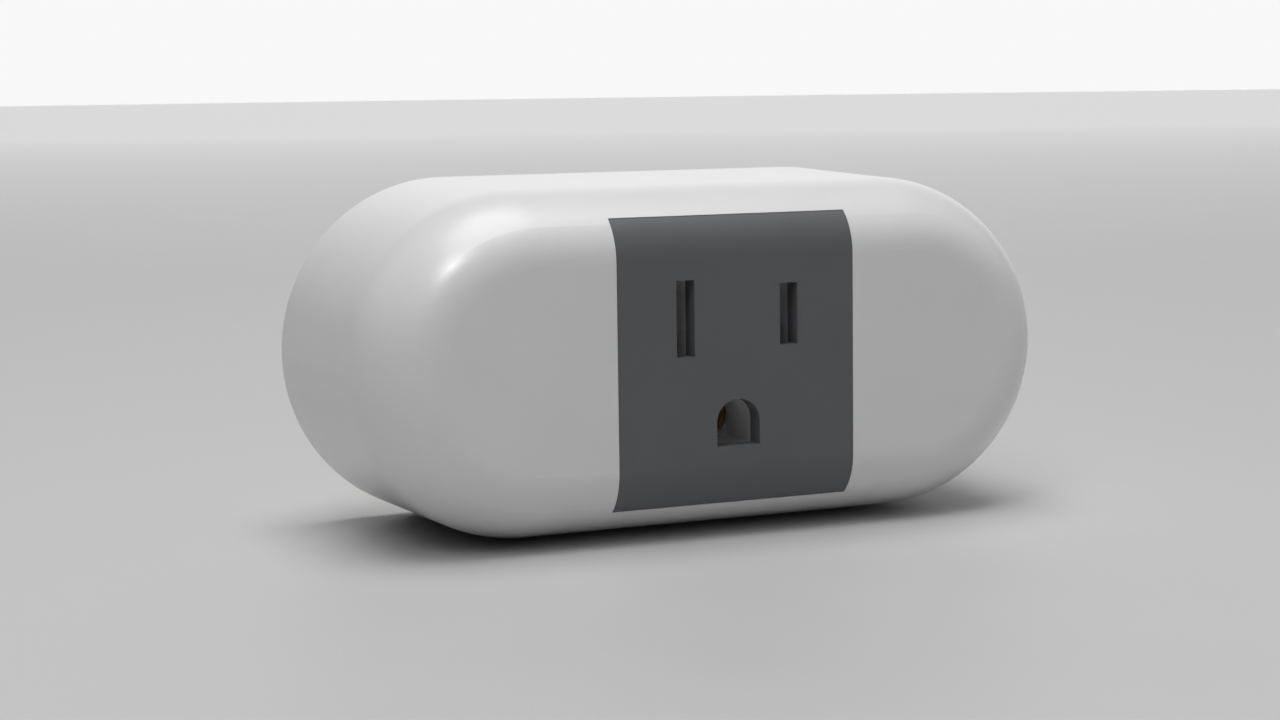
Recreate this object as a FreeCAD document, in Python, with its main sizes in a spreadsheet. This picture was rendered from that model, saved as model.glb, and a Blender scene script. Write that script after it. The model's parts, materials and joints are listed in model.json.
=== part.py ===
import FreeCAD, Part
import math
import os
import re

import Sketcher

# A one-outlet smart plug. X runs to the right seen from the front, Y from the front face
# towards the wall, Z up. The origin is the middle of the wall face, where the plug meets
# the wall outlet. Lengths are millimetres and angles are degrees.

DRIVING_SIZES = {
    # outer form: a flattened pill whose front edge is rounded by two tangent arcs
    "body_depth": 33.3,
    "end_centre": 22.8,
    "nose_flat": 11.4,
    "nose_radius": 6.2,
    "nose_angle": 42,
    "shoulder_radius": 11.7,
    "wall_flare": 0.6,
    # shell
    "wall": 2.0,
    "rim": 1.2,
    "cover": 2.5,
    "overcut": 1.0,
    "cover_gap": 0.08,
    "boss_x": 23.0,
    "boss_z": 14.9,
    "boss_radius": 2.6,
    "web_half": 0.8,
    "web_top": 19.5,
    "pilot_radius": 1.25,
    "pilot_end": 12.0,
    # socket faceplate, set flush in the front
    "plate": 2.4,
    "plate_half_width": 14.5,
    "plate_half_height": 16.2,
    "plate_gap": 0.05,
    "backing": 1.8,
    "backing_half_width": 16.3,
    # blade slots and earth hole
    "blade_x": 6.35,
    "blade_z": 4.98,
    "ground_z": -6.86,
    "slot_width": 2.19,
    "neutral_slot_height": 8.5,
    "line_slot_height": 6.93,
    "ground_hole_radius": 2.64,
    "inner_hole_gap": 0.1,
    # blades and earth pin of the plug
    "blade_length": 17.9,
    "blade_half_thick": 0.76,
    "blade_half_height": 3.175,
    "blade_tip": 1.3,
    "blade_hole_radius": 1.98,
    "blade_hole_reach": 11.9,
    "ear_half_height": 4.3,
    "ear_back": 4.0,
    "tail_low": -3.0,
    "tail_high": -0.6,
    "line_tail_end": 9.5,
    "neutral_tail_end": 13.4,
    "pin_radius": 2.4,
    "pin_length": 21.0,
    "pin_tip": 1.5,
    "collar_radius": 2.7,
    "flange_radius": 3.4,
    "pin_tail_radius": 1.5,
    "pin_tail_end": 12.25,
    "fit_gap": 0.05,
    "pass_gap": 0.15,
    # blade retainer
    "retainer_half_width": 10.5,
    "retainer_low": -10.9,
    "retainer_high": 10.4,
    "retainer_front": 5.7,
    "retainer_back": 4.05,
    "retainer_foot_radius": 0.9,
    "retainer_foot_x": 9.5,
    "retainer_foot_z": 9.4,
    # contact carrier and its cap
    "carrier_half_width": 11.0,
    "carrier_half_height": 11.2,
    "carrier_back": 11.5,
    "carrier_front_wall": 1.5,
    "chamber_half_width": 2.3,
    "chamber_half_height": 4.4,
    "ground_bore_radius": 3.1,
    "ground_bore_front": 24.3,
    "cap_back": 10.0,
    "cap_foot_radius": 2.2,
    "cap_foot_root": 0.5,
    # spring contacts
    "leaf": 0.5,
    "contact_half_height": 3.0,
    "contact_back": 12.6,
    "contact_pinch": 25.2,
    "contact_mouth": 27.2,
    "root_half_gap": 1.6,
    "pinch_half_gap": 0.65,
    "mouth_half_gap": 1.35,
    "line_lug_low": 0.9,
    "line_lug_high": 2.9,
    "line_lug_end": 6.2,
    "clamp_radius": 2.4,
    "clamp_front": 24.0,
    "clamp_back": 12.2,
    "clamp_slit_half": 0.6,
    "clamp_ring": 1.5,
    # main circuit board
    "board_face": 8.6,
    "board_back": 7.0,
    "board_end_radius": 16.0,
    "board_half_width": 38.0,
    "board_notch_radius": 3.0,
    "board_screw_x": 7.2,
    "board_screw_z": -7.3,
    "board_screw_pilot": 1.05,
    "board_screw_clear": 1.2,
    "cover_post_x": 31.0,
    "cover_post_z": 10.5,
    "cover_post_radius": 1.5,
    # screws
    "case_head_radius": 2.2,
    "case_head_depth": 1.4,
    "case_head_sink": 0.2,
    "case_shank_radius": 1.2,
    "case_shank_end": 10.5,
    "case_clear_radius": 1.5,
    "case_counterbore": 2.5,
    "board_head_radius": 1.9,
    "board_head_depth": 1.1,
    "head_top_share": 0.8,
    "board_shank_radius": 1.0,
    "board_shank_end": 16.0,
    "cross_half_width": 0.25,
    "cross_reach": 0.62,
    "cross_depth": 0.8,
    # busbars on the back of the board
    "busbar_front": 6.95,
    "busbar_back": 6.3,
    "line_bar_left": -16.2,
    "line_bar_low": -1.5,
    "line_bar_high": 0.7,
    "bar_right": 7.6,
    "bar_tab_left": 5.1,
    "load_bar_left": -31.2,
    "load_bar_low": 5.3,
    "load_bar_high": 8.1,
    # relay
    "relay_left": -32.0,
    "relay_right": -13.0,
    "relay_half": 7.75,
    "relay_height": 15.3,
    "relay_wall": 0.8,
    "relay_standoff": 0.3,
    "relay_base_top": 1.8,
    "relay_inner_gap": 0.1,
    "coil_x": -25.0,
    "core_radius": 1.5,
    "core_gap": 0.02,
    "pole_radius": 2.6,
    "pole_bottom": 12.0,
    "pole_top": 12.6,
    "pole_root": 0.2,
    "spool_radius": 4.3,
    "spool_tube_radius": 2.0,
    "spool_bottom": 2.9,
    "spool_top": 11.9,
    "spool_flange": 0.7,
    "winding_radius": 3.9,
    "yoke_bottom": 1.9,
    "yoke_thick": 0.9,
    "yoke_right": -19.0,
    "yoke_left": -27.6,
    "yoke_half": 4.5,
    "yoke_top": 13.0,
    "armature_bottom": 13.1,
    "armature_thick": 0.8,
    "armature_left": -28.3,
    "armature_right": -18.7,
    "armature_half": 4.4,
    "spring_thick": 0.2,
    "spring_left": -31.0,
    "spring_right": -20.4,
    "spring_half": 2.6,
    "contact_x": -30.2,
    "contact_radius": 0.8,
    "moving_button_bottom": 12.9,
    "post_half_width": 0.4,
    "post_half_length": 2.0,
    "fixed_button_top": 12.3,
    "post_top": 11.8,
    "terminal_radius": 0.5,
    "terminal_end": 6.1,
    "coil_pin_z": 5.6,
    "coil_pin_x": -27.5,
    "end_pin_inset": 1.2,
    "load_pin_z": 6.2,
    # components on the board
    "film_left": -37.5,
    "film_right": -32.9,
    "film_half": 6.0,
    "film_height": 11.0,
    "disc_x": -20.0,
    "disc_radius": 4.7,
    "disc_low": 8.5,
    "disc_high": 11.9,
    "disc_centre_height": 6.2,
    "lead_radius": 0.35,
    "lead_spacing_half": 2.5,
    "fuse_left": -25.0,
    "fuse_right": -15.5,
    "fuse_radius": 1.7,
    "fuse_z": -10.2,
    "fuse_height": 2.3,
    "fuse_lead": 1.2,
    "fuse_wire_radius": 0.28,
    "fuse_bend": 0.525,
    "bridge_left": 13.2,
    "bridge_right": 18.2,
    "bridge_low": -11.6,
    "bridge_high": -7.4,
    "bridge_height": 2.6,
    "chip_left": 14.2,
    "chip_right": 19.1,
    "chip_low": -2.0,
    "chip_high": 2.0,
    "chip_thick": 1.6,
    "core_left": 13.2,
    "core_right": 24.4,
    "core_half": 5.6,
    "core_height": 9.6,
    "core_leg": 1.8,
    "bobbin_pin_deck": 1.7,
    "bobbin_half": 4.1,
    "tube_radius": 2.1,
    "coil_radius": 3.6,
    "flange_thick": 0.6,
    "bulk_x": 29.6,
    "bulk_z": -8.4,
    "bulk_radius": 4.0,
    "bulk_height": 12.5,
    "bulk_groove": 0.35,
    "sleeve_lip": 0.5,
    "output_x": 29.2,
    "output_z": 2.4,
    "output_radius": 2.5,
    "output_height": 7.0,
    "output_groove": 0.25,
    "shunt_left": -9.2,
    "shunt_right": -3.4,
    "shunt_low": -14.6,
    "shunt_high": -12.4,
    "shunt_thick": 0.4,
    "shunt_height": 1.6,
    # radio board, upright beside the transformer
    "radio_left": 13.5,
    "radio_right": 31.0,
    "radio_top": 17.4,
    "radio_low": 9.5,
    "radio_high": 10.3,
    "shield_left": 14.6,
    "shield_right": 25.6,
    "shield_bottom": 2.4,
    "shield_top": 13.2,
    "shield_thick": 1.9,
    "header_half": 1.0,
    "header_height": 2.2,
    # power button, its switch and the status light
    "control_depth": 10.9,
    "button_half_length": 5.3,
    "button_half_height": 2.55,
    "button_proud": 0.35,
    "button_gap": 0.18,
    "button_inner": 39.7,
    "button_flange": 1.0,
    "button_lip": 1.0,
    "stem_half": 1.0,
    "stem_end": 37.32,
    "switch_left": 32.9,
    "switch_right": 36.8,
    "switch_half": 3.0,
    "switch_height": 4.5,
    "switch_frame": 0.25,
    "plunger_radius": 0.75,
    "plunger_end": 37.3,
    "plunger_root": 36.2,
    "plunger_bore_end": 35.6,
    "plunger_gap": 0.05,
    "light_z": 8.0,
    "light_radius": 1.0,
    "light_left": 35.7,
    "light_flange_radius": 1.7,
    "light_flange_left": 36.3,
    "light_flange_right": 37.1,
    "led_left": 33.7,
    "led_right": 35.5,
    "led_half": 0.9,
    "led_height": 3.2,
}

# worked out from the driving sizes
FRONT = "(-body_depth)"
HALF_HEIGHT = "(nose_flat + nose_radius * sin(nose_angle) + shoulder_radius * (1 - sin(nose_angle)))"
SETBACK = "(nose_radius * (1 - cos(nose_angle)) + shoulder_radius * cos(nose_angle))"
CARRIER_FRONT = "(plate + backing - body_depth)"
OUTSIDE = "(body_depth + end_centre)"

doc = FreeCAD.newDocument("SmartPlug")
sheet = doc.addObject("Spreadsheet::Sheet", "Sizes")
nodes = []


# ---- reading the sheet ----


def fill_sheet():
    for row, (alias, size) in enumerate(DRIVING_SIZES.items(), start=1):
        sheet.set(f"A{row}", alias)
        sheet.set(f"B{row}", str(size))
        sheet.setAlias(f"B{row}", alias)
    doc.recompute()


def bound(text):
    """The expression with each size's name pointing at its cell of the sheet."""

    def cell(match):
        word = match.group(0)
        return f"Sizes.{word}" if word in DRIVING_SIZES else word

    return re.sub(r"[a-z][a-z_]*", cell, str(text))


def value(text):
    return float(sheet.evalExpression(bound(text)))


def centred(middle, half):
    """The low and high ends of a stretch given by its middle and half its length."""
    return f"({middle}) - ({half})", f"({middle}) + ({half})"


def about(half):
    return centred("0", half)


def above_board(height):
    """The Y of a point this high above the front of the main board."""
    return f"(-board_face - ({height}))"


# ---- solids ----


def node(thing, label):
    """Marks a finished piece, which is written to a file of its own."""
    thing.Label = label
    nodes.append(thing)
    return thing


def box(name, across, deep, tall):
    """A block between pairs of X, Y and Z."""
    block = doc.addObject("Part::Box", name)
    for size, place, (low, high) in zip(
        ("Length", "Width", "Height"), "xyz", (across, deep, tall)
    ):
        block.setExpression(size, bound(f"({high}) - ({low})"))
        block.setExpression(f"Placement.Base.{place}", bound(low))
    return block


def rod(name, radius, axis, ends, centre):
    """A cylinder along X, Y or Z; centre is its place on the other two axes, in X, Y, Z order."""
    turn = {
        "X": FreeCAD.Rotation(FreeCAD.Vector(0, 1, 0), 90),
        "Y": FreeCAD.Rotation(FreeCAD.Vector(1, 0, 0), -90),
        "Z": FreeCAD.Rotation(),
    }[axis]
    cylinder = doc.addObject("Part::Cylinder", name)
    cylinder.Placement = FreeCAD.Placement(FreeCAD.Vector(), turn)
    cylinder.setExpression("Radius", bound(radius))
    cylinder.setExpression("Height", bound(f"({ends[1]}) - ({ends[0]})"))
    cylinder.setExpression(f"Placement.Base.{axis.lower()}", bound(ends[0]))
    for place, where in zip([letter for letter in "xyz" if letter != axis.lower()], centre):
        cylinder.setExpression(f"Placement.Base.{place}", bound(where))
    return cylinder


def join(name, *pieces):
    fuse = doc.addObject("Part::MultiFuse", name)
    fuse.Shapes = list(pieces)
    fuse.Refine = True
    return fuse


def cut(name, base, *tools):
    difference = doc.addObject("Part::Cut", name)
    difference.Base = base
    difference.Tool = tools[0] if len(tools) == 1 else join(f"{name}_tools", *tools)
    difference.Refine = True
    return difference


def common(name, base, tool):
    overlap = doc.addObject("Part::Common", name)
    overlap.Base = base
    overlap.Tool = tool
    overlap.Refine = True
    return overlap


def group(name, *pieces):
    """Several separate solids in one node."""
    together = doc.addObject("Part::Compound", name)
    together.Links = list(pieces)
    return together


def slot_prism(name, across, middle, half_length, half_height):
    """A block along X with a round-ended outline: long along Y, and centred on Z = 0."""
    straight = f"({half_length}) - ({half_height})"
    block = box(f"{name}_block", across, centred(middle, straight), about(half_height))
    front = rod(f"{name}_front", half_height, "X", across, (f"({middle}) - ({straight})", "0"))
    back = rod(f"{name}_back", half_height, "X", across, (f"({middle}) + ({straight})", "0"))
    return join(name, block, front, back)


# ---- bodies built from sketches ----


def new_body(name):
    return doc.addObject("PartDesign::Body", name)


def origin_plane(body, role):
    return next(plane for plane in body.Origin.OriginFeatures if plane.Role == role)


def short_arc(centre, radius, here, there):
    """The shorter arc between two points, and which of its ends is the first point."""
    angles = [math.atan2(spot.y - centre.y, spot.x - centre.x) for spot in (here, there)]
    forward = (angles[1] - angles[0]) % math.tau < math.pi
    first, last = angles if forward else reversed(angles)
    circle = Part.Circle(centre, FreeCAD.Vector(0, 0, 1), radius)
    return Part.ArcOfCircle(circle, first, last), 1 if forward else 2


def outline(body, name, role, points, shift=("0", "0", "0")):
    """A closed outline on one of the body's planes, moved by shift in the plane and off it.

    Each point is (u, v), or (u, v, centre u, centre v, radius) where an arc leaves it.
    """
    sketch = body.newObject("Sketcher::SketchObject", name)
    sketch.AttachmentSupport = (origin_plane(body, role), [""])
    sketch.MapMode = "FlatFace"
    for letter, distance in zip("xyz", shift):
        sketch.setExpression(f"AttachmentOffset.Base.{letter}", bound(distance))
    corners = [FreeCAD.Vector(value(point[0]), value(point[1]), 0) for point in points]
    starts = []
    for index, point in enumerate(points):
        here, there = corners[index], corners[(index + 1) % len(points)]
        if len(point) == 2:
            sketch.addGeometry(Part.LineSegment(here, there))
            starts.append(1)
        else:
            centre = FreeCAD.Vector(value(point[2]), value(point[3]), 0)
            edge, start = short_arc(centre, value(point[4]), here, there)
            sketch.addGeometry(edge)
            starts.append(start)
    for index, point in enumerate(points):
        following = (index + 1) % len(points)
        end = 3 - starts[index]
        sketch.addConstraint(
            Sketcher.Constraint("Coincident", index, end, following, starts[following])
        )
        for kind, place, text in (
            ("DistanceX", corners[index].x, point[0]),
            ("DistanceY", corners[index].y, point[1]),
        ):
            number = sketch.addConstraint(
                Sketcher.Constraint(kind, -1, 1, index, starts[index], place)
            )
            sketch.setExpression(f"Constraints[{number}]", bound(text))
        if len(point) > 2:
            number = sketch.addConstraint(Sketcher.Constraint("Radius", index, value(point[4])))
            sketch.setExpression(f"Constraints[{number}]", bound(point[4]))
    return sketch


def round_outline(body, name, role, centre, radius):
    sketch = body.newObject("Sketcher::SketchObject", name)
    sketch.AttachmentSupport = (origin_plane(body, role), [""])
    sketch.MapMode = "FlatFace"
    middle = FreeCAD.Vector(value(centre[0]), value(centre[1]), 0)
    sketch.addGeometry(Part.Circle(middle, FreeCAD.Vector(0, 0, 1), value(radius)))
    number = sketch.addConstraint(Sketcher.Constraint("Radius", 0, value(radius)))
    sketch.setExpression(f"Constraints[{number}]", bound(radius))
    for kind, place, text in zip(("DistanceX", "DistanceY"), (middle.x, middle.y), centre):
        number = sketch.addConstraint(Sketcher.Constraint(kind, -1, 1, 0, 3, place))
        sketch.setExpression(f"Constraints[{number}]", bound(text))
    return sketch


def pad(body, profile, thickness):
    """Thickens an outline equally to both sides."""
    feature = body.newObject("PartDesign::Pad", f"{profile.Name}_pad")
    feature.Profile = profile
    feature.SideType = "Symmetric"
    feature.setExpression("Length", bound(thickness))
    return feature


def pocket(body, profile, thickness):
    """Cuts an outline through, equally to both sides."""
    feature = body.newObject("PartDesign::Pocket", f"{profile.Name}_pocket")
    feature.Profile = profile
    feature.SideType = "Symmetric"
    feature.setExpression("Length", bound(thickness))
    return feature


def revolve(body, profile):
    """Turns an outline once round its own vertical axis."""
    feature = body.newObject("PartDesign::Revolution", f"{profile.Name}_turn")
    feature.Profile = profile
    feature.ReferenceAxis = (profile, ["V_Axis"])
    feature.Angle = 360
    return feature


def mirror(body, feature, role):
    reflection = body.newObject("PartDesign::Mirrored", f"{feature.Name}_mirror")
    reflection.Originals = [feature]
    reflection.MirrorPlane = (origin_plane(body, role), [""])
    body.Tip = reflection
    return reflection


# ---- outer form ----


def form_profile(inset):
    """Half of the form's section as (distance from the middle, Y), this far inside its surface."""
    nose = f"(nose_radius - ({inset}))"
    shoulder = f"(shoulder_radius - ({inset}))"
    nose_y = f"{FRONT} + nose_radius"
    shoulder_y = f"{FRONT} + {SETBACK}"
    shoulder_out = f"{HALF_HEIGHT} - shoulder_radius"
    return [
        ("0", f"{FRONT} + ({inset})"),
        ("nose_flat", f"{FRONT} + ({inset})", "nose_flat", nose_y, nose),
        (
            f"nose_flat + {nose} * sin(nose_angle)",
            f"{nose_y} - {nose} * cos(nose_angle)",
            shoulder_out,
            shoulder_y,
            shoulder,
        ),
        (f"{HALF_HEIGHT} - ({inset})", shoulder_y),
        (f"{HALF_HEIGHT} + wall_flare - ({inset})", "0"),
        ("0", "0"),
    ]


def swapped(points):
    """The same outline with its two directions exchanged."""
    return [
        (point[1], point[0], *reversed(point[2:4]), *point[4:])
        for point in points
    ]


def pill(name, inset):
    """The outer form, this far inside its surface: a flat-sided middle between two turned ends."""
    body = new_body(name)
    profile = form_profile(inset)
    section = outline(body, f"{name}_section", "YZ_Plane", swapped(profile))
    middle = pad(body, section, "2 * end_centre")
    mirror(body, middle, "XY_Plane")
    half_end = outline(body, f"{name}_end", "XY_Plane", profile, ("end_centre", "0", "0"))
    end = revolve(body, half_end)
    mirror(body, end, "YZ_Plane")
    return body


# ---- openings shared by several pieces ----


def ground_hole(name, gap, deep):
    """The earth hole: an arch over a rectangle of the same width."""
    radius = f"ground_hole_radius + ({gap})"
    arch = rod(f"{name}_arch", radius, "Y", deep, ("0", "ground_z"))
    foot = box(f"{name}_foot", about(radius), deep, (f"ground_z - ({radius})", "ground_z"))
    return join(name, arch, foot)


def blade_slot(name, side, height, gap, deep):
    across = centred(f"{side} * blade_x", f"slot_width / 2 + ({gap})")
    return box(name, across, deep, centred("blade_z", f"({height}) / 2 + ({gap})"))


def socket_openings(name, gap, deep):
    """The two blade slots and the earth hole through one wall."""
    return join(
        name,
        blade_slot(f"{name}_neutral", "-1", "neutral_slot_height", gap, deep),
        blade_slot(f"{name}_line", "1", "line_slot_height", gap, deep),
        ground_hole(f"{name}_ground", gap, deep),
    )


def boss_places():
    return [(across, up) for across in ("-boss_x", "boss_x") for up in ("-boss_z", "boss_z")]


def boss_rods(name, radius, ends):
    """One cylinder along Y at each of the four screw bosses."""
    rods = [
        rod(f"{name}_{index}", radius, "Y", ends, place)
        for index, place in enumerate(boss_places())
    ]
    return join(name, *rods)


def board_screw_places():
    return [(f"{side} * board_screw_x", "board_screw_z") for side in ("-1", "1")]


def board_screw_rods(name, radius, ends):
    rods = [
        rod(f"{name}_{index}", radius, "Y", ends, place)
        for index, place in enumerate(board_screw_places())
    ]
    return join(name, *rods)


def tail_slots(name, gap, deep):
    """Openings for the two blade tails and the earth pin's tail."""
    tall = (f"blade_z + tail_low - {gap}", f"blade_z + tail_high + {gap}")
    slots = [
        box(f"{name}_{side}", centred(f"{sign} * blade_x", f"blade_half_thick + {gap}"), deep, tall)
        for side, sign in (("neutral", "-1"), ("line", "1"))
    ]
    round_hole = rod(f"{name}_ground", f"pin_tail_radius + {gap}", "Y", deep, ("0", "ground_z"))
    return join(name, *slots, round_hole)


def line_lug_slot(name, gap, deep):
    tall = (f"blade_z + line_lug_low - {gap}", f"blade_z + line_lug_high + {gap}")
    return box(name, centred("blade_x", f"leaf / 2 + {gap}"), deep, tall)


# ---- housing ----


def make_front_housing(forms):
    backing_zone = box(
        "backing_zone",
        about("backing_half_width"),
        (FRONT, f"{FRONT} + {SETBACK}"),
        about(OUTSIDE),
    )
    hollow = cut("shell_hollow", forms["wall"], backing_zone)
    shell = cut("shell", forms["outer"], hollow, forms["deep"])

    webs = []
    for index, (across, up) in enumerate(boss_places()):
        tall = ("boss_z", "web_top") if not up.startswith("-") else ("-web_top", "-boss_z")
        webs.append(box(f"boss_web_{index}", centred(across, "web_half"), (FRONT, "-cover"), tall))
    posts = join("boss_posts", boss_rods("bosses", "boss_radius", (FRONT, "-cover")), *webs)
    solid = join("shell_with_bosses", shell, common("bosses_inside", posts, forms["rim"]))

    recess = cut(
        "plate_recess",
        box(
            "plate_recess_block",
            about("plate_half_width"),
            (f"{FRONT} - overcut", f"{FRONT} + {SETBACK}"),
            about("plate_half_height"),
        ),
        forms["plate"],
    )
    through = (f"{FRONT} - overcut", f"{CARRIER_FRONT} + overcut")
    sockets = socket_openings("housing_openings", "inner_hole_gap", through)
    seat_zone = box("seat_zone", about(OUTSIDE), ("-cover", "overcut"), about(OUTSIDE))
    seat = common("cover_seat", forms["rim"], seat_zone)
    pilots = boss_rods("pilot_holes", "pilot_radius", ("-pilot_end", "0"))
    button_hole = slot_prism(
        "button_hole",
        ("end_centre", OUTSIDE),
        "-control_depth",
        "button_half_length + button_gap",
        "button_half_height + button_gap",
    )
    light_hole = rod(
        "light_hole",
        "light_radius + fit_gap",
        "X",
        ("end_centre", OUTSIDE),
        ("-control_depth", "light_z"),
    )
    housing = cut("front_housing", solid, recess, sockets, seat, pilots, button_hole, light_hole)
    node(housing, "front_housing")


def make_faceplate(forms):
    block = box(
        "plate_block",
        about("plate_half_width - plate_gap"),
        (f"{FRONT} - overcut", f"{FRONT} + {SETBACK}"),
        about("plate_half_height - plate_gap"),
    )
    curved = common("plate_curved", forms["outer"], cut("plate_band", block, forms["plate"]))
    through = (f"{FRONT} - overcut", f"{FRONT} + plate + overcut")
    openings = socket_openings("plate_openings", "0", through)
    node(cut("socket_faceplate", curved, openings), "socket_faceplate")


def make_rear_cover(forms):
    zone = box("cover_zone", about(OUTSIDE), ("-cover", "overcut"), about(OUTSIDE))
    panel = common("cover_panel", forms["cover"], zone)
    posts = [
        rod(f"cover_post_{index}", "cover_post_radius", "Y", ("-board_back", "-cover / 2"), place)
        for index, place in enumerate(
            (f"{side} * cover_post_x", f"{up} * cover_post_z") for side in (-1, 1) for up in (-1, 1)
        )
    ]
    through = ("-cover - overcut", "overcut")
    blades = [
        box(
            f"cover_blade_slot_{side}",
            centred(f"{sign} * blade_x", "blade_half_thick + fit_gap"),
            through,
            centred("blade_z", "blade_half_height + fit_gap"),
        )
        for side, sign in (("neutral", "-1"), ("line", "1"))
    ]
    collar = rod("cover_pin_hole", "collar_radius + fit_gap", "Y", through, ("0", "ground_z"))
    clears = boss_rods("cover_screw_holes", "case_clear_radius", through)
    sink_ends = ("-case_head_sink - case_head_depth", "overcut")
    sinks = boss_rods("cover_counterbores", "case_counterbore", sink_ends)
    solid = join("cover_solid", panel, *posts)
    node(cut("rear_cover", solid, *blades, collar, clears, sinks), "rear_cover")


def screw(name, place, seat, head_radius, head_depth, shank_radius, shank_end):
    """A pan-head cross-recess screw driven from the back; seat is the Y under its head."""
    body = new_body(name)
    top = f"{seat} + {head_depth}"
    profile = [
        ("0", f"-({shank_end})"),
        (shank_radius, f"-({shank_end}) + {shank_radius}"),
        (shank_radius, seat),
        (head_radius, seat),
        (head_radius, f"{seat} + {head_depth} / 2"),
        (f"{head_radius} * head_top_share", top),
        ("0", top),
    ]
    turned = outline(body, f"{name}_profile", "XY_Plane", profile)
    revolve(body, turned)
    arm = "cross_reach * " + head_radius
    for role in ("along", "across"):
        half_u, half_v = (arm, "cross_half_width") if role == "along" else ("cross_half_width", arm)
        corners = [
            (f"-({half_u})", f"-({half_v})"),
            (half_u, f"-({half_v})"),
            (half_u, half_v),
            (f"-({half_u})", half_v),
        ]
        recess = outline(body, f"{name}_{role}", "XZ_Plane", corners, ("0", "0", f"-({top})"))
        pocket(body, recess, "2 * cross_depth")
    body.setExpression("Placement.Base.x", bound(place[0]))
    body.setExpression("Placement.Base.z", bound(place[1]))
    return body


def make_screws():
    case_screws = [
        screw(
            f"case_screw_{index}",
            place,
            "-case_head_sink - case_head_depth",
            "case_head_radius",
            "case_head_depth",
            "case_shank_radius",
            "case_shank_end",
        )
        for index, place in enumerate(boss_places())
    ]
    node(group("housing_screws", *case_screws), "housing_screws")
    board_screws = [
        screw(
            f"board_screw_{index}",
            place,
            "-board_back",
            "board_head_radius",
            "board_head_depth",
            "board_shank_radius",
            "board_shank_end",
        )
        for index, place in enumerate(board_screw_places())
    ]
    node(group("board_screws", *board_screws), "board_screws")


# ---- blades, earth pin and spring contacts ----


def make_blade(label, side, tail_end):
    """A stamped blade with two ears behind the rear cover and a tail to the board."""
    body = new_body(label)
    ear_front = "-cover - fit_gap"
    profile = [
        ("blade_length", "blade_half_height - blade_tip / 2"),
        ("blade_length - blade_tip", "blade_half_height"),
        (ear_front, "blade_half_height"),
        (ear_front, "ear_half_height"),
        ("-ear_back", "ear_half_height"),
        ("-ear_back", "tail_high"),
        (f"-{tail_end}", "tail_high"),
        (f"-{tail_end}", "tail_low"),
        ("-ear_back", "tail_low"),
        ("-ear_back", "-ear_half_height"),
        (ear_front, "-ear_half_height"),
        (ear_front, "-blade_half_height"),
        ("blade_length - blade_tip", "-blade_half_height"),
        ("blade_length", "blade_tip / 2 - blade_half_height"),
    ]
    flat = outline(body, f"{label}_profile", "YZ_Plane", profile)
    pad(body, flat, "2 * blade_half_thick")
    hole_centre = ("blade_hole_reach", "0")
    hole = round_outline(body, f"{label}_hole", "YZ_Plane", hole_centre, "blade_hole_radius")
    pocket(body, hole, "4 * blade_half_thick")
    body.setExpression("Placement.Base.x", bound(f"{side} * blade_x"))
    body.setExpression("Placement.Base.z", bound("blade_z"))
    node(body, label)


def make_ground_pin():
    body = new_body("ground_pin")
    flange_y = "-cover - fit_gap"
    tip_y = "pin_length - pin_tip"
    profile = [
        ("0", "-pin_tail_end"),
        ("pin_tail_radius", "-pin_tail_end"),
        ("pin_tail_radius", "-ear_back"),
        ("flange_radius", "-ear_back"),
        ("flange_radius", flange_y),
        ("collar_radius", flange_y),
        ("collar_radius", "0"),
        ("pin_radius", "0"),
        ("pin_radius", tip_y, "pin_radius - pin_tip", tip_y, "pin_tip"),
        ("pin_radius - pin_tip", "pin_length"),
        ("0", "pin_length"),
    ]
    turned = outline(body, "ground_pin_profile", "XY_Plane", profile)
    revolve(body, turned)
    body.setExpression("Placement.Base.z", bound("ground_z"))
    node(body, "ground_pin")


def make_blade_contact(label, side, with_lug):
    """A folded spring contact: two leaves that pinch the blade and flare at the mouth."""
    body = new_body(f"{label}_leaves")
    right = [
        ("root_half_gap + leaf", "-contact_back"),
        ("root_half_gap + leaf", "-contact_back - 2 * leaf"),
        ("pinch_half_gap + leaf", "-contact_pinch"),
        ("mouth_half_gap + leaf", "-contact_mouth"),
        ("mouth_half_gap", "-contact_mouth"),
        ("pinch_half_gap", "-contact_pinch"),
        ("root_half_gap", "-contact_back - 2 * leaf"),
        ("root_half_gap", "-contact_back - leaf"),
    ]
    left = [(f"-({across})", depth) for across, depth in reversed(right)]
    folded = outline(body, f"{label}_profile", "XY_Plane", right + left)
    pad(body, folded, "2 * contact_half_height")
    body.setExpression("Placement.Base.x", bound(f"{side} * blade_x"))
    body.setExpression("Placement.Base.z", bound("blade_z"))
    if with_lug:
        root = ("-contact_back - leaf", "-line_lug_end")
        node(join(label, body, line_lug_slot("line_lug", "0", root)), label)
    else:
        passage = box(
            "neutral_rivet_slot",
            centred(f"{side} * blade_x", "blade_half_thick"),
            ("-contact_back - 2 * leaf", "-contact_back + leaf"),
            ("blade_z + tail_low", "blade_z + tail_high"),
        )
        node(cut(label, body, passage), label)


def make_ground_contact():
    """A slit sleeve that grips the earth pin, riveted to the plug's own pin."""
    centre = ("0", "ground_z")
    sleeve_ends = ("-clamp_front", "-clamp_back + leaf")
    outer = rod("clamp_outer", "clamp_radius + leaf", "Y", sleeve_ends, centre)
    bore = rod("clamp_bore", "clamp_radius", "Y", ("-clamp_front - overcut", "-clamp_back"), centre)
    rivet = rod("clamp_rivet_hole", "pin_tail_radius", "Y", ("-clamp_back - overcut", "0"), centre)
    slit = box(
        "clamp_slit",
        about("clamp_slit_half"),
        ("-clamp_front - overcut", "-clamp_back - clamp_ring"),
        centred("ground_z", "2 * clamp_radius"),
    )
    node(cut("ground_contact", outer, bore, rivet, slit), "ground_contact")


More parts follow.
